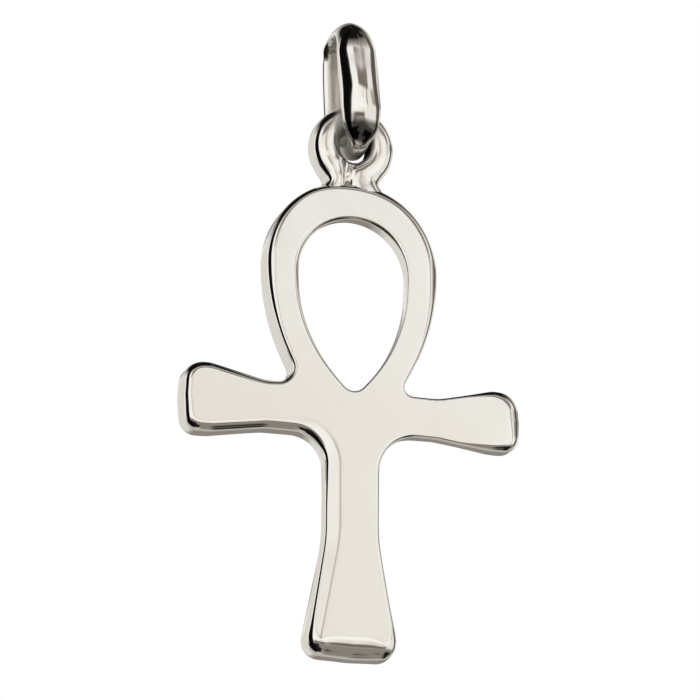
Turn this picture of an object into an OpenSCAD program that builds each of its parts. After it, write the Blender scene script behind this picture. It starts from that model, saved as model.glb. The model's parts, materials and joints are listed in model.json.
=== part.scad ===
/*
Ankh pendant in polished silver: a looped cross cut from plate with softly rounded
edges, a small ear on top of its loop, and a tapered bail that hangs the ear.
Sizes are in millimetres. X runs to the right, Y to the back and Z up. The origin is
the top of the opening in the bail, where a chain carries the pendant.
*/

/* [Plate] */
// Thickness of the cross
plate_thickness = 1.7; // [1.4:0.1:2.4]
// Rounding of the edges of the cross, front and back
edge_round = 0.55; // [0.3:0.05:0.65]

/* [Loop] */
// Outer width of the loop
loop_width = 9.4; // [8.6:0.1:11]
// Height of the loop above the middle of the arms
loop_height = 12.35; // [11:0.05:14]
// Width of the metal at the sides of the loop
side_band = 1.75; // [1.4:0.05:2.1]
// Width of the metal at the top of the loop
top_band = 2; // [1.5:0.05:2.3]
// Distance from the middle to the left side of the loop where it runs into the arm
left_root = 2.62; // [2.3:0.01:2.7]
// Distance from the middle to the right side of the loop where it runs into the arm
right_root = 2.46; // [2.3:0.01:2.7]
// How far the opening sits to the right of the middle
opening_shift = 0.06; // [-0.1:0.01:0.1]
// Height of the straight part of the sides of the opening
opening_straight = 0.4; // [0.1:0.05:1]
// Height of the point of the opening above the middle of the arms
tip_height = 0.85; // [0.5:0.05:1.5]
// Rounding of that point
tip_round = 0.6; // [0.3:0.05:0.7]

/* [Arms] */
// Width over both arms
arm_span = 18.5; // [17:0.1:23]
// Height of the end of the left arm
left_end = 3.84; // [3.4:0.05:4.4]
// Height of the end of the right arm
right_end = 3.3; // [3.1:0.05:4.4]
// Height of the left arm at its narrowest
left_waist = 2.67; // [2.2:0.01:2.9]
// Height of the right arm at its narrowest
right_waist = 2.19; // [2:0.01:2.8]
// How far the narrowest parts sit below the middle of the arms
waist_drop = 0.18; // [0:0.02:0.3]
// How far the ends sit below the middle of the arms
end_drop = 0.02; // [0:0.02:0.2]
// Rounding of the upper corners of the arms
upper_corner = 1.15; // [0.9:0.05:1.4]
// Rounding of the lower corners of the arms
lower_corner = 0.85; // [0.8:0.05:1.4]
// Bulge of the ends of the arms
end_bulge = 0.12; // [0.05:0.01:0.25]
// Rounding between the loop and the left arm
left_crotch = 0.75; // [0.3:0.05:0.8]
// Rounding between the loop and the right arm
right_crotch = 0.45; // [0.3:0.05:0.8]

/* [Stem] */
// Width of the stem under the arms
stem_width = 2.92; // [2.4:0.02:3.2]
// Length of the stem below the middle of the arms
stem_length = 13.6; // [12:0.1:17]
// Width of the foot
foot_width = 5.4; // [4.8:0.05:6.2]
// Share of the stem that is straight before it widens
straight_share = 0.52; // [0.48:0.01:0.58]
// Rounding of the corners of the foot
foot_corner = 0.95; // [0.75:0.05:1.1]
// Bulge of the end of the foot
foot_bulge = 0.12; // [0.05:0.01:0.3]
// Rounding between the left arm and the stem
left_armpit = 1.65; // [1:0.05:2.2]
// Rounding between the right arm and the stem
right_armpit = 2.1; // [1:0.05:2.2]

/* [Ear] */
// Outer width of the ear
ear_width = 4.5; // [4.2:0.05:4.8]
// Width of the metal round the hole of the ear
ear_band = 1.35; // [1.15:0.05:1.4]
// Thickness of the ear
ear_thickness = 1.6; // [1.4:0.05:1.65]
// Rounding of the edges of the ear
ear_round = 0.6; // [0.4:0.05:0.65]
// Height of the middle of the ear above the top of the loop
ear_rise = 2.02; // [1.9:0.01:2.4]
// Slope of the sides of the ear where they run down to the loop, in degrees
ear_slope = 32; // [24:1:38]
// How far the ear sits to the right of the middle of the loop
ear_shift = 0.09; // [-0.1:0.01:0.1]

/* [Bail] */
// Width of the bail at the middle of its height
bail_width = 2.2; // [1.8:0.05:2.3]
// Thickness of the metal of the bail
bail_thickness = 0.85; // [0.65:0.01:0.9]
// Height of the opening of the bail
bail_opening = 5.76; // [5:0.02:6.6]
// Inner radius of the bail at its top
bail_top_radius = 1.15; // [1:0.01:1.2]
// Inner radius of the bend that carries the ear
bail_bend_radius = 1.38; // [1.3:0.01:1.5]
// Lean of the bail to the side as it hangs, in degrees
bail_lean = 3.5; // [0:0.5:4.5]

/* [Clearances] */
// Gap between the hole of the ear and the bend of the bail in it
seat_gap = 0.08; // [0.06:0.01:0.12]

/* [Hidden] */
silver = "#d8d6d0";

// Most that an arc may stray from its chords, and steps of each rounded edge
arc_gap = 0.006;
edge_steps = 3;
$fn = 96;

// Heights of the parts, from the origin down
hole_radius = ear_width / 2 - ear_band;
bend_x = bail_opening * sin(bail_lean);
ear_x = bend_x * 0.4;
ankh_x = ear_x - ear_shift;
bend_reach = 0.81 * hole_radius;
bend_half = bend_reach - bend_x + ear_x;
seat_depth = sqrt((hole_radius - seat_gap) ^ 2 - bend_reach ^ 2);
ear_z = -bail_opening * cos(bail_lean) - seat_depth;
loop_top_z = ear_z - ear_rise;
arms_z = loop_top_z - loop_height;

// The rounded mouths of the ear's hole start a little inside its exact wall
mouth_radius = hole_radius - 0.02;

// Loop, measured from the middle of the arms
loop_radius = loop_width / 2;
loop_centre = loop_height - loop_radius;
flank_drop = loop_centre - (left_waist + right_waist) / 4 + waist_drop;

// Opening of the loop: a round top, short straight sides and two arcs down to a point
inner_radius = loop_radius - side_band;
inner_centre = loop_height - top_band - inner_radius;
tear_centre = inner_centre - opening_straight;
tip_drop = tear_centre - tip_height;
tear_radius = side_radius(tip_drop, inner_radius);
tear_end = asin(tip_drop / tear_radius) - 9;

// Arms and stem: where an arm starts to widen, as a share of the way to its end part
half_span = arm_span / 2;
flare_from = 0.61;
stem_bend = -stem_length * straight_share;

// Bail, measured from the top of its opening
bail_top_z = -bail_top_radius;
bail_bend_z = -bail_opening + bail_bend_radius;
bail_tilt = asin((bail_bend_radius - bail_top_radius) / (bail_top_z - bail_bend_z));
dome_angle = 62;
dome_radius = bail_width / 2 / sin(dome_angle);
bail_high = bail_thickness;
bail_low = -bail_opening - bail_thickness;

function unit(v) = v / norm(v);
function circle_point(c, r, a) = c + r * [cos(a), sin(a)];
function turn(a) = a > 180 ? a - 360 : a < -180 ? a + 360 : a;
function flip(points) = [for (i = [len(points) - 1:-1:0]) [-points[i][0], points[i][1]]];

// Points of an arc round c from angle a to angle b
function arc(c, r, a, b) =
    let (
        step = min(15, 2 * acos(1 - arc_gap / r)),
        n = max(2, ceil(abs(b - a) / step))
    )
    [for (i = [0:n]) circle_point(c, r, a + (b - a) * i / n)];

// Points that round the corner p between a and b
function corner(a, p, b, r) =
    let (
        u = unit(a - p),
        v = unit(b - p),
        half = acos(u * v) / 2,
        reach = r / tan(half),
        c = p + unit(u + v) * r / sin(half),
        from = p + u * reach - c,
        to = p + v * reach - c,
        start = atan2(from[1], from[0]),
        sweep = turn(atan2(to[1], to[0]) - start)
    )
    arc(c, r, start, start + sweep);

// Closed outline whose points of three numbers are corners with a rounding
function outline(points) =
    let (n = len(points))
    [for (i = [0:n - 1])
        let (
            a = points[(i + n - 1) % n],
            p = points[i],
            b = points[(i + 1) % n],
            xy = [p[0], p[1]]
        )
        each (len(p) == 2 ? [xy] : corner([a[0], a[1]], xy, [b[0], b[1]], p[2]))];

// The outline moved outwards by d; outlines run counter-clockwise
function grown(points, d) =
    let (n = len(points))
    [for (i = [0:n - 1])
        let (t = unit(points[(i + 1) % n] - points[(i + n - 1) % n]))
        points[i] + d * [t[1], -t[0]]];

// Depth and inset of the steps of one rounded edge, from the face to the side
function edge_profile(half, r, from) = [
    for (i = [0:edge_steps])
        let (a = from + (90 - from) * i / edge_steps)
        [half - r + r * cos(a), r - r * sin(a)]
];

// Front steps, then back steps in the other order
function both_sides(profile) = concat(
    [for (p = profile) [-p[0], p[1]]],
    [for (i = [len(profile) - 1:-1:0]) profile[i]]
);

// Twice the area of a triangle, positive when it runs counter-clockwise
function area2(a, b, c) = (b[0] - a[0]) * (c[1] - a[1]) - (b[1] - a[1]) * (c[0] - a[0]);

function in_triangle(p, a, b, c) = area2(a, b, p) > 0 && area2(b, c, p) > 0 && area2(c, a, p) > 0;

// Whether corner i of the points still left can be cut off as a triangle
function free_corner(points, left, i) =
    let (
        n = len(left),
        a = points[left[(i + n - 1) % n]],
        b = points[left[i]],
        c = points[left[(i + 1) % n]]
    )
    area2(a, b, c) > 0.000001 && len([for (k = left) if (in_triangle(points[k], a, b, c)) k]) == 0;

// Triangles that fill an outline, found by cutting off free corners one by one
function filled(points, left, i, found) =
    let (n = len(left), k = i % n, before = left[(k + n - 1) % n], after = left[(k + 1) % n])
    n == 3 || i > 4 * len(points) ? concat(found, [left])
    : free_corner(points, left, k)
    ? filled(
        points,
        [for (j = [0:n - 1]) if (j != k) left[j]],
        k,
        concat(found, [[before, left[k], after]])
    )
    : filled(points, left, i + 1, found);

// Solid between copies of an outline, each at a depth and grown by an amount
module layered(points, layers) {
    n = len(points);
    m = len(layers);
    rings = [for (l = layers) each [for (p = grown(points, l[1])) [p[0], l[0], p[1]]]];
    sides = [
        for (j = [0:m - 2], i = [0:n - 1])
            let (a = j * n + i, b = j * n + (i + 1) % n)
            each [[a, b, b + n], [a, b + n, a + n]]
    ];
    face = filled(grown(points, layers[0][1]), [for (i = [0:n - 1]) i], 0, []);
    front = [for (t = face) [t[2], t[1], t[0]]];
    back = [for (t = face) [for (i = t) (m - 1) * n + i]];
    polyhedron(rings, concat(front, back, sides), convexity = 8);
}

// Plate with rounded edges
module plate(points, thickness, r) {
    steps = both_sides(edge_profile(thickness / 2, r, 0));
    layered(points, [for (s = steps) [s[0], -s[1]]]);
}

// Cutter for an opening whose edges are rounded on both faces
module flared_opening(points, thickness, r) {
    steps = edge_profile(thickness / 2, r, 15);
    mouth = [[thickness / 2 + r / 8, r * 1.2]];
    layered(points, both_sides(concat(mouth, steps)));
}

// Radius of an arc that runs d down from the side of a round and in by inset
function side_radius(d, inset) = (d ^ 2 + inset ^ 2) / (2 * inset);

// Right half of the cross from the foot up to the top of its loop
function half_cross(end_height, waist, root_half, crotch, armpit) =
    let (
        radius = side_radius(flank_drop, loop_radius - root_half),
        middle = [loop_radius - radius, loop_centre],
        x3 = half_span - end_bulge,
        x2 = x3 - 1.08 * max(upper_corner, lower_corner) - 0.2,
        x1 = x2 * flare_from,
        top = waist / 2 - waist_drop,
        above_fillet = loop_centre - top - 1.75 * crotch,
        end = min(asin(flank_drop / radius) - 9, asin(above_fillet / radius)),
        crown = arc([0, loop_centre], loop_radius, 0, 90),
        bottom = -waist / 2 - waist_drop,
        end_top = end_height / 2 - end_drop,
        end_bottom = -end_height / 2 - end_drop,
        root = circle_point(middle, radius, -end),
        meet = root[0] - (root[1] - top) * tan(end)
    )
    concat(
        [
            [0, -stem_length - foot_bulge],
            [foot_width / 2, -stem_length, foot_corner],
            [stem_width / 2, stem_bend, 9],
            [stem_width / 2, bottom, armpit],
            [x1, bottom, 2.2],
            [x2, end_bottom, 1.2],
            [x3, end_bottom, lower_corner],
            [half_span, -end_drop],
            [x3, end_top, upper_corner],
            [x2, end_top, 1.2],
            [x1, top, 2.2],
            [meet, top, crotch]
        ],
        arc(middle, radius, -end, 0),
        [for (i = [1:len(crown) - 2]) crown[i]]
    );

// Left half, drawn as a right half and turned over
function flipped(points) = [
    for (i = [len(points) - 1:-1:1])
        let (p = points[i])
        len(p) == 3 ? [-p[0], p[1], p[2]] : [-p[0], p[1]]
];

function cross_outline() = outline(concat(
    half_cross(right_end, right_waist, right_root, right_crotch, right_armpit),
    [[0, loop_height]],
    flipped(half_cross(left_end, left_waist, left_root, left_crotch, left_armpit))
));

function tear_outline() =
    let (
        c = [inner_radius - tear_radius, tear_centre],
        side = arc(c, tear_radius, -tear_end, 0),
        low = side[0],
        tip = [0, low[1] - low[0] / tan(tear_end), tip_round]
    )
    outline(concat(
        [tip],
        side,
        arc([0, inner_centre], inner_radius, 0, 180),
        flip(side)
    ));

// Ear: a round top whose sides run down into the loop
function ear_outline() =
    let (
        r = ear_width / 2,
        a = ear_slope,
        low = circle_point([0, 0], r, -a),
        down = ear_rise + top_band / 2,
        foot = low[0] - (down + low[1]) * tan(a)
    )
    concat([[foot, -down]], arc([0, 0], r, -a, 180 + a), [[-foot, -down]]);

// Hole of the ear: round above and pointed below
function ear_hole() =
    let (
        tip = ear_rise * 0.64,
        a = asin(mouth_radius / tip),
        side = arc([0, 0], mouth_radius, -a, 180 + a)
    )
    outline(concat([[0, -tip, 0.15]], side));

module ankh() {
    color(silver)
    difference() {
        union() {
            translate([ankh_x, 0, arms_z])
            plate(cross_outline(), plate_thickness, edge_round);
            translate([ear_x, 0, ear_z])
            plate(ear_outline(), ear_thickness, ear_round);
        }
        translate([ankh_x + opening_shift, 0, arms_z])
        flared_opening(tear_outline(), plate_thickness, edge_round);
        translate([ear_x, 0, ear_z])
        flared_opening(ear_hole(), ear_thickness, ear_round);
        translate([ear_x, 0, ear_z])
        rotate([90, 0, 0])
        cylinder(h = ear_thickness, r = hole_radius, center = true);
    }
}

// Stations round the bail: normal angle in the side view and height of the bend's middle
bail_stations = concat(
    [for (a = [0:11]) [bail_tilt + (180 - 2 * bail_tilt) * a / 12, bail_top_z]],
    [for (s = [0:3]) [180 - bail_tilt, bail_top_z + (bail_bend_z - bail_top_z) * s / 4]],
    [for (a = [0:13]) [180 - bail_tilt + (180 + 2 * bail_tilt) * a / 14, bail_bend_z]],
    [for (s = [0:3]) [bail_tilt, bail_bend_z + (bail_top_z - bail_bend_z) * s / 4]]
);

function station_radius(z) = z == bail_top_z ? bail_top_radius
    : z == bail_bend_z ? bail_bend_radius
    : bail_top_radius
        + (bail_bend_radius - bail_top_radius) * (bail_top_z - z) / (bail_top_z - bail_bend_z);

// Width of the bail as a share of its widest, from the top down
function width_share(u) = lookup(u, [
    [0, 0.78],
    [0.1, 0.88],
    [0.25, 0.97],
    [0.4, 1],
    [0.66, 1],
    [0.8, 0.92],
    [0.9, 0.72],
    [0.96, 0.3 + 0.7 * bend_half / (bail_width / 2)],
    [1, bend_half / (bail_width / 2)]
]);

// One section of the bail: inner corner, domed outside, inner corner
function bail_section(a, z) =
    let (
        r = station_radius(z),
        n = [cos(a), sin(a)],
        mid = [0, z] + (r + bail_thickness) * n,
        share = width_share((bail_high - mid[1]) / (bail_high - bail_low)),
        d = dome_radius * share,
        w = bail_width / 2 * share,
        inner = [0, z] + (r - 0.35) * n,
        dome = [for (i = [-5:5]) let (b = dome_angle * i / 5) [d * sin(b), d - d * cos(b)]]
    )
    concat(
        [[-w, inner[0], inner[1]]],
        [for (p = dome) [p[0], mid[0] - p[1] * n[0], mid[1] - p[1] * n[1]]],
        [[w, inner[0], inner[1]]]
    );

module bail_body() {
    sections = [for (s = bail_stations) bail_section(s[0], s[1])];
    n = len(sections);
    m = len(sections[0]);
    middle_z = (bail_top_z + bail_bend_z) / 2;
    points = concat(
        [for (s = sections) each s],
        [[-bail_width / 2, 0, middle_z], [bail_width / 2, 0, middle_z]]
    );
    skin = [
        for (i = [0:n - 1], j = [0:m - 2])
            let (k = (i + 1) % n, a = i * m + j, b = k * m + j)
            each [[a, b + 1, b], [a, a + 1, b + 1]]
    ];
    left = [for (i = [0:n - 1]) [n * m, i * m, ((i + 1) % n) * m]];
    right = [for (i = [0:n - 1]) [n * m + 1, ((i + 1) % n) * m + m - 1, i * m + m - 1]];
    polyhedron(points, concat(skin, left, right), convexity = 4);
}

// Opening of the bail: a round top, a wider round bend and straight sides between
module bail_bore() {
    top = [bail_top_radius * cos(bail_tilt), bail_top_z + bail_top_radius * sin(bail_tilt)];
    low = [bail_bend_radius * cos(bail_tilt), bail_bend_z + bail_bend_radius * sin(bail_tilt)];
    rotate([90, 0, 90])
    translate([0, 0, -bail_width])
    linear_extrude(2 * bail_width)
    union() {
        translate([0, bail_top_z])
        circle(bail_top_radius);
        translate([0, bail_bend_z])
        circle(bail_bend_radius);
        polygon([top, [-top[0], top[1]], [-low[0], low[1]], low]);
    }
}

module bail() {
    color(silver)
    rotate([0, -bail_lean, 0])
    difference() {
        bail_body();
        bail_bore();
    }
}

bail();
ankh();
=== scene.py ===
import json
import math

import bmesh
import bpy
import numpy as np
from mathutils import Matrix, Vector, geometry, kdtree, noise


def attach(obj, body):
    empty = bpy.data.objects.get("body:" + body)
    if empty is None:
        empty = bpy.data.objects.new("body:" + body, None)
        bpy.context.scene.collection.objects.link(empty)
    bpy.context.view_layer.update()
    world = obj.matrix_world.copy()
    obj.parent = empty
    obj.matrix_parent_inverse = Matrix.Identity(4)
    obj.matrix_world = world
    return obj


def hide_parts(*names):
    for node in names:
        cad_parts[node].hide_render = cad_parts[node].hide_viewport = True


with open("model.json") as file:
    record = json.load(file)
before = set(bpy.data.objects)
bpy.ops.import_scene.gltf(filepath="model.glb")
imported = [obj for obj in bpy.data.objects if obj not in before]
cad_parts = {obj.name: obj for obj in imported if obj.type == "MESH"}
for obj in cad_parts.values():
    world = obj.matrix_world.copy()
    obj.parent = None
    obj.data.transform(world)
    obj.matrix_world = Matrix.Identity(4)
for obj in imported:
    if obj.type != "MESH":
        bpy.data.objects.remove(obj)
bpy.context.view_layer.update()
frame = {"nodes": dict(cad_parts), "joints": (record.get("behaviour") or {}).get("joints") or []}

# Ankh pendant in polished silver. Lengths are in millimetres until a mesh is made.
MM = 0.001

# Plate of the cross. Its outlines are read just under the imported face, where they lie inside the
# packed sides by the two insets; a loop of no more than the fewest points is a speck of the cut
PLATE_HALF = 0.85
CAD_FACE_INSET = 0.55
CAD_OPENING_INSET = 0.462
FACE_SLICE = 0.8495
FEWEST_LOOP_POINTS = 8
OUTLINE_SPACING = 0.07
OUTLINE_SOFTNESS = 0.09

# Points over the flat of a face: their spacing, and as shares of it the step between two rows and
# the least gap to the rim
FACE_SPACING = 0.11
FACE_ROW_SHARE = 0.866
FACE_RIM_SHARE = 0.45

# Edges: steps of every rounding, and how far the rounding of the back runs in and how deep it goes
EDGE_STEPS = 14
BACK_EDGE = (0.5, 0.5)

# Front edges as they were filed: a place on the outline from the middle of the arms, how far the
# rounding runs in over the face, how deep it goes, how far the front and the back edge stand out
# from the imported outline, and whether the stem's flat bevel runs there
FRONT_EDGES = (
    (0.0, 12.3, 0.45, 0.45, 0, 0, 0),
    (2.9, 11.4, 0.4, 0.4, 0, 0, 0),
    (4.7, 7.6, 0.6, 0.55, 0, -0.03, 0),
    (3.6, 3.0, 0.22, 0.35, 0, -0.08, 0),
    (2.6, 1.3, 0.12, 0.3, 0, 0, 0),
    (6.5, 1.1, 0.14, 0.2, -0.08, -0.05, 0),
    (8.2, 1.6, 0.4, 0.4, 0, 0, 0),
    (8.9, 1.4, 0.85, 0.7, 0, 0, 0),
    (9.25, 0.0, 0.75, 0.7, 0, 0, 0),
    (8.8, -1.5, 0.45, 0.5, 0, -0.05, 0),
    (6.0, -1.2, 0.14, 0.3, 0.13, -0.12, 0),
    (1.9, -2.0, 0.16, 0.3, 0.03, -0.08, 0),
    (1.46, -6.0, 0.14, 0.3, 0, 0, 0),
    (2.0, -10.5, 0.18, 0.3, -0.08, -0.05, 0),
    (2.4, -12.5, 0.24, 0.3, -0.05, 0, 0),
    (2.3, -13.4, 0.85, 0.55, -0.05, -0.05, 0),
    (1.2, -13.7, 1.25, 0.65, 0, -0.05, 0),
    (-1.2, -13.7, 1.15, 0.65, 0, -0.05, 0),
    (-2.4, -13.4, 0.75, 0.6, 0, 0, 1),
    (-2.5, -12.0, 0.34, 0.6, 0, 0, 1),
    (-1.46, -6.0, 0.22, 0.6, 0.12, -0.12, 1),
    (-1.8, -2.6, 0.35, 0.5, 0.06, -0.08, 1),
    (-3.4, -1.5, 0.5, 0.45, 0, -0.06, 0),
    (-6.0, -1.5, 0.5, 0.45, 0, -0.06, 0),
    (-8.9, -1.9, 0.5, 0.5, 0, 0, 0),
    (-9.25, 0.0, 0.4, 0.6, 0, 0, 0),
    (-8.8, 1.8, 0.45, 0.55, 0, 0, 0),
    (-6.0, 1.3, 0.42, 0.5, 0, 0, 0),
    (-2.9, 1.3, 0.2, 0.4, 0, 0, 0),
    (-4.0, 4.0, 0.26, 0.45, 0, 0, 0),
    (-4.7, 7.6, 0.5, 0.5, 0, 0, 0),
    (-2.4, 11.8, 0.25, 0.4, 0.07, 0.05, 0),
)
OPENING_EDGES = (
    (-2.9, 8.5, 0.4, 0.42, 0, 0, 0),
    (0.0, 10.3, 0.2, 0.2, 0, -0.15, 0),
    (2.3, 9.9, 0.25, 0.2, 0, -0.15, 0),
    (2.9, 7.0, 0.06, 0.08, 0, -0.12, 0),
    (1.8, 4.0, 0.06, 0.08, -0.04, -0.12, 0),
    (0.1, 0.9, 0.1, 0.12, -0.12, -0.12, 0),
    (-1.8, 4.0, 0.25, 0.3, -0.03, -0.03, 0),
)
EDGE_BLEND = 0.5

# Hand polish of the faces: they sink a little, dome towards the sides, and wave; the sizes of the
# waves run along x, z and the seed
FACE_SINK = 0.01
FACE_DOME = 0.0004
FACE_WAVE = 0.008
FACE_WAVE_SIZE = (6.5, 6.5, 1)
FACE_RIPPLE = 0.0015
FACE_RIPPLE_SIZE = (2.6, 2.6, 1)
FACE_SEEDS = {-1: (3.0, 12.0), 1: (17.0, 26.0)}

# Flat bevel along the stem
BEVEL_WIDTH = 0.76
BEVEL_SLOPE = 0.115
BEVEL_CORNER = 0.05
BEVEL_LEAST = 0.01

# Points round the section of the ear's wire and of the bail's strap
SECTION_POINTS = 48

# Ear, a thick wire bent round; its limbs close below the hole in a crease and spread on the loop.
# Places are from the middle of the hole, turns in degrees from the top. The section turns to that of
# the crease between the two depths of EAR_PINCHED, and grows more uneven down to EAR_UNEVEN_DEPTH
EAR_HOLE_TURNS = (0, 60, 90, 120, 140)
EAR_HOLE_LEFT = (0.88, 0.76, 0.64, 0.63, 0.65)
EAR_HOLE_RIGHT = (0.86, 0.83, 0.83, 0.83, 0.81)
EAR_OUTSIDE = 2.25
EAR_OUTSIDE_TURN = 122
EAR_FOOT = ((1.52, -1.72), (1.45, -1.95), (1.6, -2.18), (1.9, -2.5))
EAR_ROUND_POINTS = 61
EAR_ROUND_RINGS = 48
EAR_FOOT_RINGS = 25
EAR_EASED = 3
EAR_HALF_DEPTH = 0.79
EAR_SECTION_POWER = 2.8
EAR_CREASE_POWER = 3.2
EAR_CREASE_SHIFT = -0.36
EAR_CREASE_GAP = 0.03
EAR_CREASE_HEIGHTS = (-1.15, -1.2, -1.6, -2.6)
EAR_PINCHED = (0.75, 1.5)
EAR_UNEVEN = 0.03
EAR_UNEVEN_SIZE = (0.6, 1, 0.6)
EAR_UNEVEN_TOP = 0.3
EAR_UNEVEN_DEPTH = 1.2

# Solder in the bottom of the crease: its upper edge round the hole, as turns from the right and
# radii, and then the corners of its foot
SOLDER_EDGE = (
    (225, 0.68), (235, 0.71), (245, 0.735), (260, 0.755), (275, 0.785), (290, 0.82), (310, 0.87),
)
SOLDER_FOOT = ((0.42, -1.5), (0.42, -2.3), (-0.16, -2.4), (-0.75, -2.3), (-0.75, -1.5))
SOLDER_SIDE_DEPTH = 0.3
SOLDER_HALF_DEPTH = 0.66
SOLDER_RIM_POINTS = 64
SOLDER_RINGS = 7
SOLDER_LUMP_SIZE = (0.35, 0.35, 1)
SOLDER_SEED = 3.0

# Bail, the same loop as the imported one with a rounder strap. Heights are from its seat on the chain.
# The dome turns to that of the bend between two heights, and the back of the top is a little wider
BAIL_OPENING = 5.76
BAIL_TOP_RADIUS = 1.15
BAIL_BEND_RADIUS = 1.38
BAIL_THICKNESS = 0.85
BAIL_WIDTH = 2.2
BAIL_BEND_WIDTH = 1.04
BAIL_LEAN = math.radians(3.5)
BAIL_INNER_DEPTH = 0.18
BAIL_INNER_POWER = 2.2
BAIL_DOME_POWER = 1.6
BAIL_BEND_DOME_POWER = 2.5
BAIL_BEND_DOMED = (-4.9, -6.0)
BAIL_TOP_BACK = 0.14
BAIL_TOP_BACK_RISE = (-0.6, 0.4)
BAIL_TOP_RINGS = 48
BAIL_LEG_RINGS = 24
BAIL_BEND_RINGS = 56

# Shares of the bail's width from its top down
BAIL_WIDTHS = (
    (0, 0.78), (0.1, 0.88), (0.25, 0.97), (0.4, 1), (0.66, 1), (0.79, 0.94),
    (0.87, 0.84), (0.92, 0.7), (0.955, 0.55), (1, BAIL_BEND_WIDTH / BAIL_WIDTH),
)

# Unevenness of the cast strap, its fine ripple, and the swell of its outer face in the middle of
# its height; to leave room for the swell, the outer face is set back except at the top and the bend
BAIL_UNEVEN = 0.024
BAIL_UNEVEN_SIZE = (1.1, 1.1, 1.3)
BAIL_RIPPLE = 0.006
BAIL_RIPPLE_SIZE = (0.45, 0.45, 0.7)
BAIL_SWELL = 0.17
BAIL_SWELL_MIDDLE = -3.0
BAIL_SWELL_REACH = 2.4
BAIL_SET_BACK = 0.09
BAIL_SET_BACK_TOP = (0.5, -0.6)
BAIL_SET_BACK_BEND = (-6.2, -5.0)

# Silver and the painted shade of its seams: the roughness that the buff leaves and the size of its haze;
# how far the buff and the painted seam shade see into a hollow, and the open shares between which they
# fade
SILVER = "#f8f6f2"
# Dark colour painted in as shade, in the seams and under the bail's bend
PAINTED_SHADE = "#3a342f"
BUFFED = (0.075, 0.12)
HAZE_SIZE = 1.4286
HAZE_RANGE = (0.3, 0.7)
BUFF_REACH = 2.6
BUFF_OPEN = (0.85, 0.4)
SATIN = 0.5
SHADE_SEAM_REACH = 0.55
SHADE_SEAM_OPEN = (0.76, 0.4)
AO_SAMPLES = 8

# Painted shade where the bail turns under: the heights where it begins and is full, how ragged its upper
# border is and in what grain, and how far to the front or the back it begins and is full
UNDER_SHADE_HEIGHTS = (-4.75, -5.1)
UNDER_SHADE_RAGGED = 0.3
UNDER_SHADE_GRAIN = 0.7143
UNDER_SHADE_OUTSIDE = (1.25, 1.55)

# Creases sharper than this stay sharp in the joined cross
SHARP_EDGE = math.radians(38)

# Camera of the photograph: its sides in pixels, pixels to a mm, and the pixel of the crossing
CAMERA_LEFT = math.radians(16.5)
CAMERA_BELOW = math.radians(17.2)
CAMERA_DISTANCE = 1.5
CAMERA_SEES = (0.01, 10.0)
PHOTO_SIDE = 700
PHOTO_SCALE = 19.06
PHOTO_CROSSING = (348.7, 411.3)
CROSSING = (0.05, 0, -20.4947)
SENSOR = 36.0


def smoothstep(value, low, high):
    """From 0 at the low value to 1 at the high one, eased; the low value may be the larger."""
    t = np.clip((np.asarray(value, float) - low) / (high - low), 0, 1)
    return t * t * (3 - 2 * t)


def lump(place, sizes):
    """Unevenness from -1 to 1 at a place in mm, with the sizes of its lumps along the three axes."""
    return noise.noise(Vector([at / size for at, size in zip(place, sizes)]))


def signed_area(loop):
    """Area of a closed outline, above 0 where it runs anticlockwise."""
    x, z = loop[:, 0], loop[:, 1]
    return 0.5 * np.sum(x * np.roll(z, -1) - np.roll(x, -1) * z)


def slice_loops(node, y):
    """Closed outlines in mm, as x and z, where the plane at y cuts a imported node; the longest first."""
    cut = bmesh.new()
    cut.from_mesh(frame["nodes"][node].data)
    bmesh.ops.remove_doubles(cut, verts=cut.verts, dist=1e-7)
    bmesh.ops.bisect_plane(
        cut,
        geom=cut.verts[:] + cut.edges[:] + cut.faces[:],
        dist=1e-9,
        plane_co=(0, y * MM, 0),
        plane_no=(0, 1, 0),
        clear_inner=True,
        clear_outer=True,
    )
    left = set(cut.verts)
    loops = []
    while left:
        start = left.pop()
        chain = [start]
        while True:
            nexts = [e.other_vert(chain[-1]) for e in chain[-1].link_edges]
            nexts = [v for v in nexts if v in left]
            if not nexts:
                break
            left.discard(nexts[0])
            chain.append(nexts[0])
        loops.append(np.array([(v.co.x / MM, v.co.z / MM) for v in chain]))
    cut.free()
    loops = [loop for loop in loops if len(loop) > FEWEST_LOOP_POINTS]
    return sorted(loops, key=lambda loop: -abs(signed_area(loop)))


def even_loop(points, spacing, softness):
    """The closed outline with even points from its lowest one on, and its corners eased."""
    lowest = np.lexsort((points[:, 0], points[:, 1]))[0]
    points = np.roll(points, -lowest, axis=0)
    closed = np.vstack([points, points[:1]])
    along = np.r_[0, np.cumsum(np.linalg.norm(np.diff(closed, axis=0), axis=1))]
    count = int(round(along[-1] / spacing))
    at = np.arange(count) * along[-1] / count
    even = np.column_stack([np.interp(at, along, closed[:, k]) for k in (0, 1)])
    waves = 2 * np.pi * np.fft.fftfreq(count, along[-1] / count)
    fade = np.exp(-0.5 * (waves * softness) ** 2)
    return np.real(np.fft.ifft(np.fft.fft(even, axis=0) * fade[:, None], axis=0))


def outward(loop):
    """Unit normals of an outline, away from the metal."""
    ahead = np.roll(loop, -1, axis=0) - np.roll(loop, 1, axis=0)
    ahead /= np.linalg.norm(ahead, axis=1)[:, None]
    return np.column_stack([ahead[:, 1], -ahead[:, 0]])


def inside(points, loop):
    """Whether each point lies inside a closed outline."""
    a, b = loop, np.roll(loop, -1, axis=0)
    found = np.zeros(len(points), bool)
    for (ax, az), (bx, bz) in zip(a, b):
        crosses = (az > points[:, 1]) != (bz > points[:, 1])
        if bz != az:
            at = ax + (points[:, 1] - az) * (bx - ax) / (bz - az)
            found ^= crosses & (points[:, 0] < at)
    return found


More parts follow.
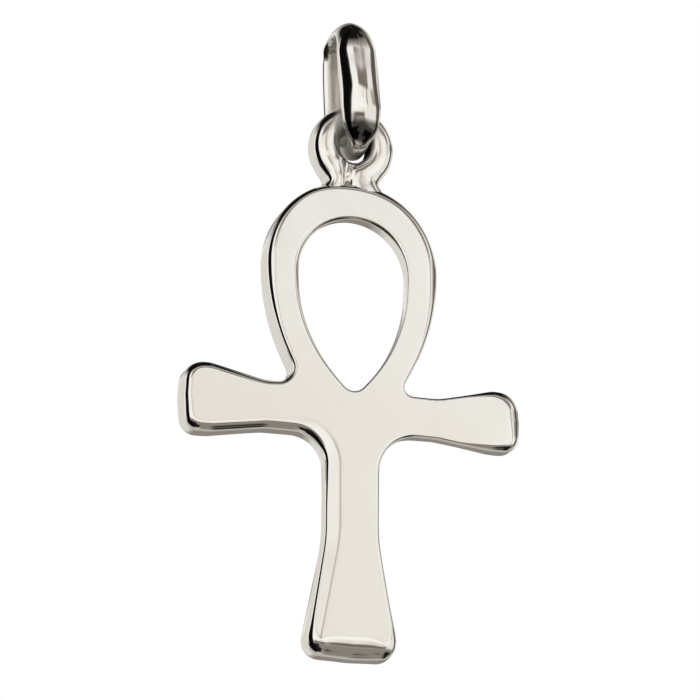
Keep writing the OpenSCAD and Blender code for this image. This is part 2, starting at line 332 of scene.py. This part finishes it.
outline, opening = slice_loops("ankh", -FACE_SLICE)[:2]
if signed_area(outline) < 0:
    outline = outline[::-1]
if signed_area(opening) > 0:
    opening = opening[::-1]
outline = even_loop(outline, OUTLINE_SPACING, OUTLINE_SOFTNESS)
opening = even_loop(opening, OUTLINE_SPACING, OUTLINE_SOFTNESS)

# Landmarks of the cross, read off its outline
ANKH_X = 0.5 * (outline[:, 0].min() + outline[:, 0].max())
LEFT_ARM_END = outline[outline[:, 0] < outline[:, 0].min() + 1]
ARMS_Z = 0.5 * (LEFT_ARM_END[:, 1].min() + LEFT_ARM_END[:, 1].max())
EAR_X, _, EAR_Z = [value / MM for value in frame["joints"][0]["pos_m"]]


def edge_sizes(loop, marks):
    """The five sizes of the edges at each point of an outline, blended between the marks."""
    step = np.linalg.norm(np.roll(loop, -1, axis=0) - loop, axis=1)
    length = step.sum()
    along = np.r_[0, np.cumsum(step)[:-1]]
    rows = []
    for u, v, *sizes in marks:
        nearest = int(np.argmin(np.hypot(loop[:, 0] - ANKH_X - u, loop[:, 1] - ARMS_Z - v)))
        rows.append((along[nearest], *sizes))
    rows = np.array(sorted(rows))
    waves = 2 * np.pi * np.fft.fftfreq(len(loop), length / len(loop))
    fade = np.exp(-0.5 * (waves * EDGE_BLEND) ** 2)
    columns = []
    for k in range(1, rows.shape[1]):
        raw = np.interp(along, rows[:, 0], rows[:, k], period=length)
        columns.append(np.real(np.fft.ifft(np.fft.fft(raw) * fade)))
    return columns


def face_relief(points, side, edge, bevel):
    """How far a hand-polished face stands out at each point in mm, with the bevel along its stem."""
    wave_seed, ripple_seed = FACE_SEEDS[side]
    depths = np.empty(len(points))
    for i, (x, z) in enumerate(points):
        wave = lump((x, z, wave_seed), FACE_WAVE_SIZE)
        ripple = lump((x, z, ripple_seed), FACE_RIPPLE_SIZE)
        dome = (x - ANKH_X) ** 2 + max(0, z - ARMS_Z) ** 2
        depths[i] = -FACE_SINK + FACE_WAVE * wave + FACE_RIPPLE * ripple - FACE_DOME * dome
        if side < 0:
            _, nearest, gap = edge.find((x, z, 0))
            if bevel[nearest] > BEVEL_LEAST:
                within = BEVEL_WIDTH - gap
                soft = 0.5 * (within + math.hypot(within, BEVEL_CORNER))
                depths[i] -= BEVEL_SLOPE * bevel[nearest] * soft
    return depths


class Shell:
    """Vertices and faces of one closed mesh, in mm."""

    def __init__(self):
        self.verts = []
        self.faces = []

    def add_points(self, points):
        start = len(self.verts)
        self.verts.extend([tuple(float(v) for v in p) for p in points])
        return list(range(start, len(self.verts)))

    def join(self, near, far):
        """Quads between two closed rings; near lies nearer the front face."""
        n = len(near)
        for i in range(n):
            j = (i + 1) % n
            self.faces.append((near[i], far[i], far[j], near[j]))

    def piece(self, name, material):
        mesh = bpy.data.meshes.new(name)
        mesh.from_pydata([Vector(v) * MM for v in self.verts], [], self.faces)
        mesh.validate()
        built = bmesh.new()
        built.from_mesh(mesh)
        bmesh.ops.recalc_face_normals(built, faces=built.faces)
        built.to_mesh(mesh)
        built.free()
        mesh.materials.append(material)
        mesh.polygons.foreach_set("use_smooth", [True] * len(mesh.polygons))
        piece = bpy.data.objects.new(name, mesh)
        bpy.context.scene.collection.objects.link(piece)
        return piece


def joined(whole, part):
    """The whole with the part soldered on as one skin."""
    weld = whole.modifiers.new("weld", "BOOLEAN")
    weld.operation = "UNION"
    weld.solver = "EXACT"
    weld.object = part
    bpy.context.view_layer.update()
    graph = bpy.context.evaluated_depsgraph_get()
    skin = bpy.data.meshes.new_from_object(whole.evaluated_get(graph))
    whole.modifiers.clear()
    whole.data = skin
    skin.polygons.foreach_set("use_smooth", [True] * len(skin.polygons))
    bpy.data.objects.remove(part)
    return whole


def edge_profile():
    """Shares of inset, depth and face relief from the face to the side, a quarter round."""
    turns = [math.pi / 2 * k / EDGE_STEPS for k in range(EDGE_STEPS + 1)]
    return [(1 - math.sin(t), 1 - math.cos(t), math.cos(t)) for t in turns]


def fill_face(loops):
    """Triangles over the flat of a face: the innermost rings and a field of points between them."""
    ring_points = np.vstack(loops)
    tree = kdtree.KDTree(len(ring_points))
    for i, (x, z) in enumerate(ring_points):
        tree.insert((x, z, 0), i)
    tree.balance()
    low, high = ring_points.min(0), ring_points.max(0)
    field = []
    row_step = FACE_SPACING * FACE_ROW_SHARE
    for row in range(int((high[1] - low[1]) / row_step) + 1):
        z = low[1] + row * row_step
        for x in np.arange(low[0] + (row % 2) * FACE_SPACING / 2, high[0], FACE_SPACING):
            field.append((x, z))
    field = np.array(field)
    field = field[inside(field, loops[0])]
    for hole in loops[1:]:
        field = field[~inside(field, hole)]
    least_gap = FACE_RIM_SHARE * FACE_SPACING
    field = np.array([p for p in field if tree.find((p[0], p[1], 0))[2] > least_gap])
    everything = np.vstack([ring_points, field])
    edges = []
    start = 0
    for loop in loops:
        n = len(loop)
        edges.extend((start + i, start + (i + 1) % n) for i in range(n))
        start += n
    coords = [Vector(p) for p in everything]
    points, _, triangles, *_ = geometry.delaunay_2d_cdt(coords, edges, [], 0, 1e-6, False)
    points = np.array([(p.x, p.y) for p in points])
    triangles = np.array([t for t in triangles if len(t) == 3])
    middles = points[triangles].mean(axis=1)
    keep = inside(middles, loops[0])
    for hole in loops[1:]:
        keep &= ~inside(middles, hole)
    return points, triangles[keep]


def plate_shell():
    """The cross: two faces, rounded edges and side walls, round the outline and the opening."""
    shell = Shell()
    front_sizes = [edge_sizes(outline, FRONT_EDGES), edge_sizes(opening, OPENING_EDGES)]
    rims = [(outline, outward(outline), CAD_FACE_INSET), (opening, outward(opening), CAD_OPENING_INSET)]
    bevel = front_sizes[0][4]
    edge = kdtree.KDTree(len(outline))
    for i, (x, z) in enumerate(outline + rims[0][1] * CAD_FACE_INSET):
        edge.insert((x, z, 0), i)
    edge.balance()
    ends = {}
    for side in (-1, 1):
        rings = []
        for (loop, normal, cad_inset), sizes in zip(rims, front_sizes):
            inset, depth = sizes[:2] if side < 0 else (np.full(len(loop), v) for v in BACK_EDGE)
            rim = cad_inset + (sizes[2] if side < 0 else sizes[3])
            inner = loop + normal * (rim - inset)[:, None]
            relief = face_relief(inner, side, edge, bevel)
            steps = []
            for in_share, down_share, relief_share in edge_profile():
                flat = loop + normal * (rim - inset * in_share)[:, None]
                y = PLATE_HALF + relief * relief_share - depth * down_share
                steps.append(np.column_stack([flat[:, 0], side * y, flat[:, 1]]))
            rings.append(steps)
        points, triangles = fill_face([steps[0][:, [0, 2]] for steps in rings])
        y = side * (PLATE_HALF + face_relief(points, side, edge, bevel))
        ids = shell.add_points(np.column_stack([points[:, 0], y, points[:, 1]]))
        for a, b, c in triangles:
            shell.faces.append((ids[a], ids[b], ids[c]))
        at = 0
        ends[side] = []
        for steps in rings:
            near = ids[at : at + len(steps[0])]
            at += len(steps[0])
            for ring in steps[1:]:
                far = shell.add_points(ring)
                shell.join(near, far)
                near = far
            ends[side].append(near)
    for near, far in zip(ends[-1], ends[1]):
        shell.join(near, far)
    return shell


def superellipse(half_width, outer, inner, power, inner_power):
    """A closed section: aside and outwards, with its own power for the outer and the inner half."""
    points = []
    for k in range(SECTION_POINTS):
        t = 2 * math.pi * k / SECTION_POINTS
        c, s = math.cos(t), math.sin(t)
        p = power if s >= 0 else inner_power
        depth = outer if s >= 0 else inner
        aside = half_width * math.copysign(abs(c) ** (2 / p), c)
        points.append((aside, depth * math.copysign(abs(s) ** (2 / p), s)))
    return points


def limb(side):
    """Outer and inner edge of one limb of the ear, from the top down to the loop."""
    turns = np.radians(np.linspace(0, EAR_OUTSIDE_TURN, EAR_ROUND_POINTS))
    outer = [(EAR_OUTSIDE * math.sin(t), EAR_OUTSIDE * math.cos(t)) for t in turns] + list(EAR_FOOT)
    turns = np.linspace(0, EAR_HOLE_TURNS[-1], EAR_ROUND_POINTS)
    radii = np.interp(turns, EAR_HOLE_TURNS, EAR_HOLE_LEFT if side < 0 else EAR_HOLE_RIGHT)
    inner = [(r * math.sin(t), r * math.cos(t)) for r, t in zip(radii, np.radians(turns))]
    crease = side * EAR_CREASE_SHIFT + EAR_CREASE_GAP / 2
    inner += [(crease, z) for z in EAR_CREASE_HEIGHTS]
    edges = []
    for line in (outer, inner):
        line = np.array(line)
        run = np.r_[0, np.cumsum(np.linalg.norm(np.diff(line, axis=0), axis=1))]
        split = run[EAR_ROUND_POINTS - 1]
        round_part = np.linspace(0, split, EAR_ROUND_RINGS)
        at = np.r_[round_part, np.linspace(split, run[-1], EAR_FOOT_RINGS)[1:]]
        even = np.column_stack([np.interp(at, run, line[:, k]) for k in (0, 1)])
        for _ in range(EAR_EASED):
            even[1:-1] = 0.25 * even[:-2] + 0.5 * even[1:-1] + 0.25 * even[2:]
        even[:, 0] *= side
        edges.append(even + (EAR_X, EAR_Z))
    return edges


def ear_shell():
    """The ear: a wire of rounded section swept from the left foot over the top to the right foot."""
    shell = Shell()
    left_outer, left_inner = limb(-1)
    right_outer, right_inner = limb(1)
    outer = np.vstack([left_outer[::-1], right_outer[1:]])
    inner = np.vstack([left_inner[::-1], right_inner[1:]])
    half, power = EAR_HALF_DEPTH, EAR_SECTION_POWER
    section = superellipse(1, half, half, power, power)
    rings = []
    for out, within in zip(outer, inner):
        middle = (out + within) / 2
        reach = (out - within) / 2
        pinched = float(smoothstep(EAR_Z - within[1], *EAR_PINCHED))
        power = EAR_SECTION_POWER + (EAR_CREASE_POWER - EAR_SECTION_POWER) * pinched
        ring = []
        for a, depth in section:
            if a < 0:
                depth = half * math.copysign(max(0, 1 - (-a) ** power) ** (1 / power), depth)
            x, z = middle[0] + reach[0] * a, middle[1] + reach[1] * a
            low = float(smoothstep(EAR_Z - z, 0, EAR_UNEVEN_DEPTH))
            uneven = EAR_UNEVEN * (EAR_UNEVEN_TOP + (1 - EAR_UNEVEN_TOP) * low)
            ring.append((x, -depth * (1 + uneven * (lump((x, depth, z), EAR_UNEVEN_SIZE) - 1)), z))
        rings.append(shell.add_points(ring))
    for near, far in zip(rings, rings[1:]):
        shell.join(near, far)
    shell.faces.append(tuple(rings[0]))
    shell.faces.append(tuple(reversed(rings[-1])))
    return shell


def solder_shell():
    """The solder that fills the crease of the ear between its two limbs, a little lumpy."""
    shell = Shell()
    edge = [(r * math.cos(math.radians(t)), r * math.sin(math.radians(t))) for t, r in SOLDER_EDGE]
    corners = np.array(edge + list(SOLDER_FOOT))
    corners = np.vstack([corners, corners[:1]])
    run = np.r_[0, np.cumsum(np.linalg.norm(np.diff(corners, axis=0), axis=1))]
    at = np.linspace(0, run[-1], SOLDER_RIM_POINTS, endpoint=False)
    rim = np.column_stack([np.interp(at, run, corners[:, k]) for k in (0, 1)])
    middle = rim.mean(axis=0)
    rims = []
    for side in (-1, 1):
        near = None
        for k in range(SOLDER_RINGS):
            share = 1 - k / SOLDER_RINGS
            dome = math.sqrt(1 - share**2)
            depth = SOLDER_SIDE_DEPTH + (SOLDER_HALF_DEPTH - SOLDER_SIDE_DEPTH) * dome
            ring = []
            for x, z in middle + (rim - middle) * share:
                uneven = EAR_UNEVEN * lump((x, z, SOLDER_SEED * side), SOLDER_LUMP_SIZE)
                ring.append((EAR_X + x, side * (depth + uneven * (1 - share)), EAR_Z + z))
            far = shell.add_points(ring)
            if near is None:
                rims.append(far)
            else:
                shell.join(near, far)
            near = far
        tip = shell.add_points([(EAR_X + middle[0], side * SOLDER_HALF_DEPTH, EAR_Z + middle[1])])[0]
        for i in range(len(near)):
            shell.faces.append((near[i], near[(i + 1) % len(near)], tip))
    shell.join(*rims)
    return shell


def bail_stations():
    """Turn, height and radius of each ring: over the top to the front, down, round the bend, up."""
    top_z = -BAIL_TOP_RADIUS
    bend_z = -BAIL_OPENING + BAIL_BEND_RADIUS
    growth = BAIL_BEND_RADIUS - BAIL_TOP_RADIUS
    tilt = math.asin(growth / (top_z - bend_z))
    half = math.pi
    shares = [k / BAIL_LEG_RINGS for k in range(BAIL_LEG_RINGS)]
    stations = []
    for k in range(BAIL_TOP_RINGS):
        turn = tilt + (half - 2 * tilt) * k / BAIL_TOP_RINGS
        stations.append((turn, top_z, BAIL_TOP_RADIUS))
    for share in shares:
        z = top_z + (bend_z - top_z) * share
        stations.append((half - tilt, z, BAIL_TOP_RADIUS + growth * share))
    for k in range(BAIL_BEND_RINGS):
        turn = half - tilt + (half + 2 * tilt) * k / BAIL_BEND_RINGS
        stations.append((turn, bend_z, BAIL_BEND_RADIUS))
    for share in shares:
        z = bend_z + (top_z - bend_z) * share
        stations.append((tilt, z, BAIL_BEND_RADIUS - growth * share))
    return stations


def bail_shell():
    """The bail: a domed strap that is widest in the middle of its height and narrow at the bend."""
    shell = Shell()
    high, low = BAIL_THICKNESS, -BAIL_OPENING - BAIL_THICKNESS
    dome_depth = BAIL_THICKNESS - BAIL_INNER_DEPTH
    heights, shares = zip(*BAIL_WIDTHS)
    lean_across, lean_up = math.sin(BAIL_LEAN), math.cos(BAIL_LEAN)
    rings = []
    for turn, z, radius in bail_stations():
        out = (math.cos(turn), math.sin(turn))
        crest = z + (radius + BAIL_THICKNESS) * out[1]
        share = float(np.interp((high - crest) / (high - low), heights, shares))
        share += BAIL_TOP_BACK * float(smoothstep(crest, *BAIL_TOP_BACK_RISE)) * max(0, out[0])
        bend = float(smoothstep(crest, *BAIL_BEND_DOMED))
        power = BAIL_DOME_POWER + (BAIL_BEND_DOME_POWER - BAIL_DOME_POWER) * bend
        section = superellipse(
            BAIL_WIDTH / 2 * share, dome_depth, BAIL_INNER_DEPTH, power, BAIL_INNER_POWER
        )
        off_middle = min(1, abs(crest - BAIL_SWELL_MIDDLE) / BAIL_SWELL_REACH)
        set_back = smoothstep(crest, *BAIL_SET_BACK_BEND) * smoothstep(crest, *BAIL_SET_BACK_TOP)
        swell = BAIL_SWELL * (1 - off_middle**2) ** 2 - BAIL_SET_BACK * float(set_back)
        ring = []
        for x, depth in section:
            reach = radius + BAIL_INNER_DEPTH + depth
            y, up = reach * out[0], z + reach * out[1]
            if depth > 0:
                bump = BAIL_UNEVEN * (lump((x, y, up), BAIL_UNEVEN_SIZE) - 1)
                bump += BAIL_RIPPLE * (lump((x, y, up), BAIL_RIPPLE_SIZE) - 1)
                shift = (bump + swell) * depth / dome_depth
                y += shift * out[0]
                up += shift * out[1]
            ring.append((x * lean_up - up * lean_across, y, x * lean_across + up * lean_up))
        rings.append(shell.add_points(ring))
    rings.append(rings[0])
    for near, far in zip(rings, rings[1:]):
        shell.join(near, far)
    return shell


def linear(hex_colour):
    """sRGB hex to linear light."""
    parts = [int(hex_colour[i : i + 2], 16) / 255 for i in (1, 3, 5)]
    return tuple(p / 12.92 if p <= 0.04045 else ((p + 0.055) / 1.055) ** 2.4 for p in parts)


def add(tree, kind, inputs=None, **settings):
    """One node with its settings; an input is a value or the socket that feeds it."""
    node = tree.nodes.new(kind)
    for name, value in settings.items():
        setattr(node, name, value)
    for name, value in (inputs or {}).items():
        if isinstance(value, bpy.types.NodeSocket):
            tree.links.new(value, node.inputs[name])
        else:
            node.inputs[name].default_value = value
    return node


def mapped(tree, value, start, end, to_start=0.0, to_end=1.0, eased=True):
    """The value taken from one range to another, held at both ends."""
    ranges = {"From Min": start, "From Max": end, "To Min": to_start, "To Max": to_end}
    kind = "SMOOTHSTEP" if eased else "LINEAR"
    node = add(tree, "ShaderNodeMapRange", {"Value": value, **ranges}, interpolation_type=kind)
    return node.outputs["Result"]


def reckoned(tree, operation, *values):
    """The result of one sum on values or sockets."""
    return add(tree, "ShaderNodeMath", dict(enumerate(values)), operation=operation).outputs[0]


def speckle(tree, place, size, detail):
    """Noise from 0 to 1 whose largest grains have this size in mm."""
    inputs = {"Vector": place, "Scale": 1 / (size * MM), "Detail": detail}
    return add(tree, "ShaderNodeTexNoise", inputs).outputs["Fac"]


def openness(tree, distance):
    """How open the surface is to something of this size in mm, from 0 in a seam to 1 in the open."""
    inputs = {"Distance": distance * MM}
    return add(tree, "ShaderNodeAmbientOcclusion", inputs, samples=AO_SAMPLES).outputs["AO"]


def polished_silver(name, seam_shade, under_shade):
    """Sterling silver, cast, filed and buffed: a nearly colourless mirror with faint buffing haze.

    Where the buff cannot reach it stays satin; the tight seams and the place where the bail turns under
    are darkened with painted shade."""
    material = bpy.data.materials.new(name)
    material.use_nodes = True
    tree = material.node_tree
    tree.nodes.clear()
    place = add(tree, "ShaderNodeTexCoord").outputs["Object"]
    haze = speckle(tree, place, HAZE_SIZE, 3.0)
    buffed = mapped(tree, haze, *HAZE_RANGE, *BUFFED, eased=False)
    satin = mapped(tree, openness(tree, BUFF_REACH), *BUFF_OPEN, 0.0, SATIN, eased=False)
    rough = reckoned(tree, "ADD", buffed, satin)
    # Painted shade: the colour darkens where ambient occlusion finds a tight seam
    seams = mapped(tree, openness(tree, SHADE_SEAM_REACH), *SHADE_SEAM_OPEN, 0.0, seam_shade)
    axes = add(tree, "ShaderNodeSeparateXYZ", {"Vector": place})
    # Painted shade under the bail's bend: from a ragged height down, and towards the front and the back
    grain = speckle(tree, place, UNDER_SHADE_GRAIN, 2.0)
    ragged = reckoned(tree, "MULTIPLY_ADD", grain, UNDER_SHADE_RAGGED * MM, axes.outputs["Z"])
    lowness = mapped(tree, ragged, *[height * MM for height in UNDER_SHADE_HEIGHTS])
    from_middle = reckoned(tree, "ABSOLUTE", axes.outputs["Y"])
    outside = mapped(tree, from_middle, *[distance * MM for distance in UNDER_SHADE_OUTSIDE])
    under = reckoned(tree, "MULTIPLY", lowness, outside)
    # Share of painted shade, from the seams and from under the bend, that turns the silver dark
    shade_share = reckoned(tree, "MINIMUM", reckoned(tree, "MULTIPLY_ADD", under, under_shade, seams), 1.0)
    colour = add(
        tree,
        "ShaderNodeMix",
        {"Factor": shade_share, "A": (*linear(SILVER), 1), "B": (*linear(PAINTED_SHADE), 1)},
        data_type="RGBA",
    )
    shader = add(
        tree,
        "ShaderNodeBsdfPrincipled",
        {"Base Color": colour.outputs["Result"], "Metallic": 1.0, "Roughness": rough},
    )
    add(tree, "ShaderNodeOutputMaterial", {"Surface": shader.outputs["BSDF"]})
    return material


# The plate gets full painted shade in its seams; the bail gets half there, plus painted shade under its
# bend
silver_plate = polished_silver("polished_silver_plate", seam_shade=1.0, under_shade=0.0)
silver_bail = polished_silver("polished_silver_bail", seam_shade=0.5, under_shade=0.85)

ankh = plate_shell().piece("ankh_silver", silver_plate)
ankh = joined(ankh, ear_shell().piece("ear", silver_plate))
ankh = joined(ankh, solder_shell().piece("solder", silver_plate))
ankh.data.set_sharp_from_angle(angle=SHARP_EDGE)
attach(ankh, "ankh")
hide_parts("ankh")

bail = bail_shell().piece("bail_silver", silver_bail)
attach(bail, "bail")
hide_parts("bail")

# Pale floor under the hanging pendant, in metres
FLOOR_Z = -0.75
FLOOR_RADIUS = 3.0
FLOOR_SIDES = 96
PAPER = "#f2f1ee"
PAPER_ROUGH = 0.9
bpy.ops.mesh.primitive_circle_add(
    vertices=FLOOR_SIDES, radius=FLOOR_RADIUS, fill_type="NGON", location=(0, 0, FLOOR_Z)
)
floor = bpy.context.active_object
floor.name = "floor"
matte = bpy.data.materials.new("pale_paper")
matte.use_nodes = True
paper = matte.node_tree.nodes["Principled BSDF"]
paper.inputs["Base Color"].default_value = (*linear(PAPER), 1)
paper.inputs["Roughness"].default_value = PAPER_ROUGH
floor.data.materials.append(matte)
floor.visible_glossy = False

# Light tent of white paper, and what hangs in it: from and to in azimuth, which runs from the front
# to the left, from and to in elevation, the width of the soft edge, all in degrees, and the colour
TENT_PAPER = "#fbfaf7"
TENT = (
    ("floor_behind", -181, 181, -91, -8, 14, "#b9b6b0"),
    ("wall_left_behind", 98, 172, -30, 60, 10, "#dedbd5"),
    ("wall_right", -140, -28, -16, 60, 8, "#ebe8e3"),
    ("card_behind", -181, -145, -45, 62, 12, "#8d8882"),
    ("card_behind_left", 176, 181, -30, 36, 6, "#a8a49e"),
    ("front_cream", -32, 40, -7, 57, 5, "#e2dbce"),
    ("front_upper_white", -32, 40, 17.5, 57, 5, "#f9f9f8"),
    ("front_right_white", -32, -17, -4, 57, 5, "#f8f7f4"),
    ("front_bevel_white", -7, 40, -4, 57, 2, "#f6f3ee"),
    ("front_left_white", 16, 40, -4, 57, 8, "#fbfaf8"),
    ("front_lower_white", -32, 40, 4, 12.5, 3, "#fdfcfa"),
    ("rail_right", -140, -60, 15, 22, 5, "#a09a93"),
    ("thin_stand", -12, -8, 13, 21, 2, "#b6aaa1"),
    ("front_low_line", -22, 30, -17, -7, 4, "#6c665f"),
    ("front_low_shade", -100, 100, -76, -18, 8, "#8a857e"),
    ("front_low_dark", 2, 100, -74, -22, 8, "#1c1a1b"),
    ("front_low_flag", -80, -28, -52, -30, 6, "#1a1819"),
    ("front_low_corner", -110, -48, -66, -48, 6, "#1a1819"),
    ("front_low_left", -14, 100, -76, -40, 8, "#1a1819"),
    ("high_card", -50, 14, 21.5, 35, 5, "#7a7068"),
    ("overhead_shade", -181, 181, 38, 91, 18, "#8a857e"),
    ("overhead_dark", -181, 181, 49, 91, 7, "#161514"),
    ("right_stand", -104, -76, -20, 60, 6, "#5a554f"),
    ("right_line", -40, -35, 12, 60, 3, "#8a857e"),
    ("left_flag", 38, 84, -70, 91, 5, "#0a0909"),
)


def light_tent():
    """The studio that the silver mirrors: white paper, a cream front, dark flags, a shaded floor."""
    world = bpy.data.worlds.new("light_tent")
    bpy.context.scene.world = world
    world.use_nodes = True
    tree = world.node_tree
    tree.nodes.clear()
    ray = add(tree, "ShaderNodeTexCoord")
    axes = add(tree, "ShaderNodeSeparateXYZ", {"Vector": ray.outputs["Generated"]})
    left = reckoned(tree, "MULTIPLY", axes.outputs["X"], -1.0)
    front = reckoned(tree, "MULTIPLY", axes.outputs["Y"], -1.0)
    azimuth = reckoned(tree, "DEGREES", reckoned(tree, "ARCTAN2", left, front))
    elevation = reckoned(tree, "DEGREES", reckoned(tree, "ARCSINE", axes.outputs["Z"]))
    colour = add(tree, "ShaderNodeRGB").outputs[0]
    colour.default_value = (*linear(TENT_PAPER), 1)
    for name, from_a, to_a, from_e, to_e, soft, hex_colour in TENT:
        share = 1.0
        for angle, low, high in ((azimuth, from_a, to_a), (elevation, from_e, to_e)):
            for edge, start, end in ((low, 0.0, 1.0), (high, 1.0, 0.0)):
                step = mapped(tree, angle, edge - soft / 2, edge + soft / 2, start, end)
                share = reckoned(tree, "MULTIPLY", share, step)
        mix = add(
            tree,
            "ShaderNodeMix",
            {"Factor": share, "A": colour, "B": (*linear(hex_colour), 1)},
            data_type="RGBA",
            label=name,
        )
        colour = mix.outputs["Result"]
    tent = add(tree, "ShaderNodeBackground", {"Color": colour, "Strength": 1.0})
    seen = add(tree, "ShaderNodeBackground", {"Color": (1, 1, 1, 1), "Strength": 1.0})
    which = add(tree, "ShaderNodeLightPath")
    out = add(
        tree,
        "ShaderNodeMixShader",
        {0: which.outputs["Is Camera Ray"], 1: tent.outputs[0], 2: seen.outputs[0]},
    )
    add(tree, "ShaderNodeOutputWorld", {"Surface": out.outputs[0]})


light_tent()

# Camera: left of the front and below, far off with a long lens, with the crossing where it was seen
camera_data = bpy.data.cameras.new("camera")
camera = bpy.data.objects.new("camera", camera_data)
bpy.context.scene.collection.objects.link(camera)
bpy.context.scene.camera = camera
away = Vector(
    (
        -math.sin(CAMERA_LEFT) * math.cos(CAMERA_BELOW),
        -math.cos(CAMERA_LEFT) * math.cos(CAMERA_BELOW),
        -math.sin(CAMERA_BELOW),
    )
)
right = Vector((math.cos(CAMERA_LEFT), -math.sin(CAMERA_LEFT), 0))
up = away.cross(right)
aside = (PHOTO_SIDE / 2 - PHOTO_CROSSING[0]) / PHOTO_SCALE * MM
raised = (PHOTO_CROSSING[1] - PHOTO_SIDE / 2) / PHOTO_SCALE * MM
aim = Vector(CROSSING) * MM + right * aside + up * raised
camera.location = aim + away * CAMERA_DISTANCE
camera.rotation_mode = "QUATERNION"
camera.rotation_quaternion = away.to_track_quat("Z", "Y")
camera_data.sensor_width = SENSOR
camera_data.lens = SENSOR * CAMERA_DISTANCE / (PHOTO_SIDE / PHOTO_SCALE * MM)
camera_data.clip_start, camera_data.clip_end = CAMERA_SEES

bpy.context.scene.view_settings.view_transform = "Standard"
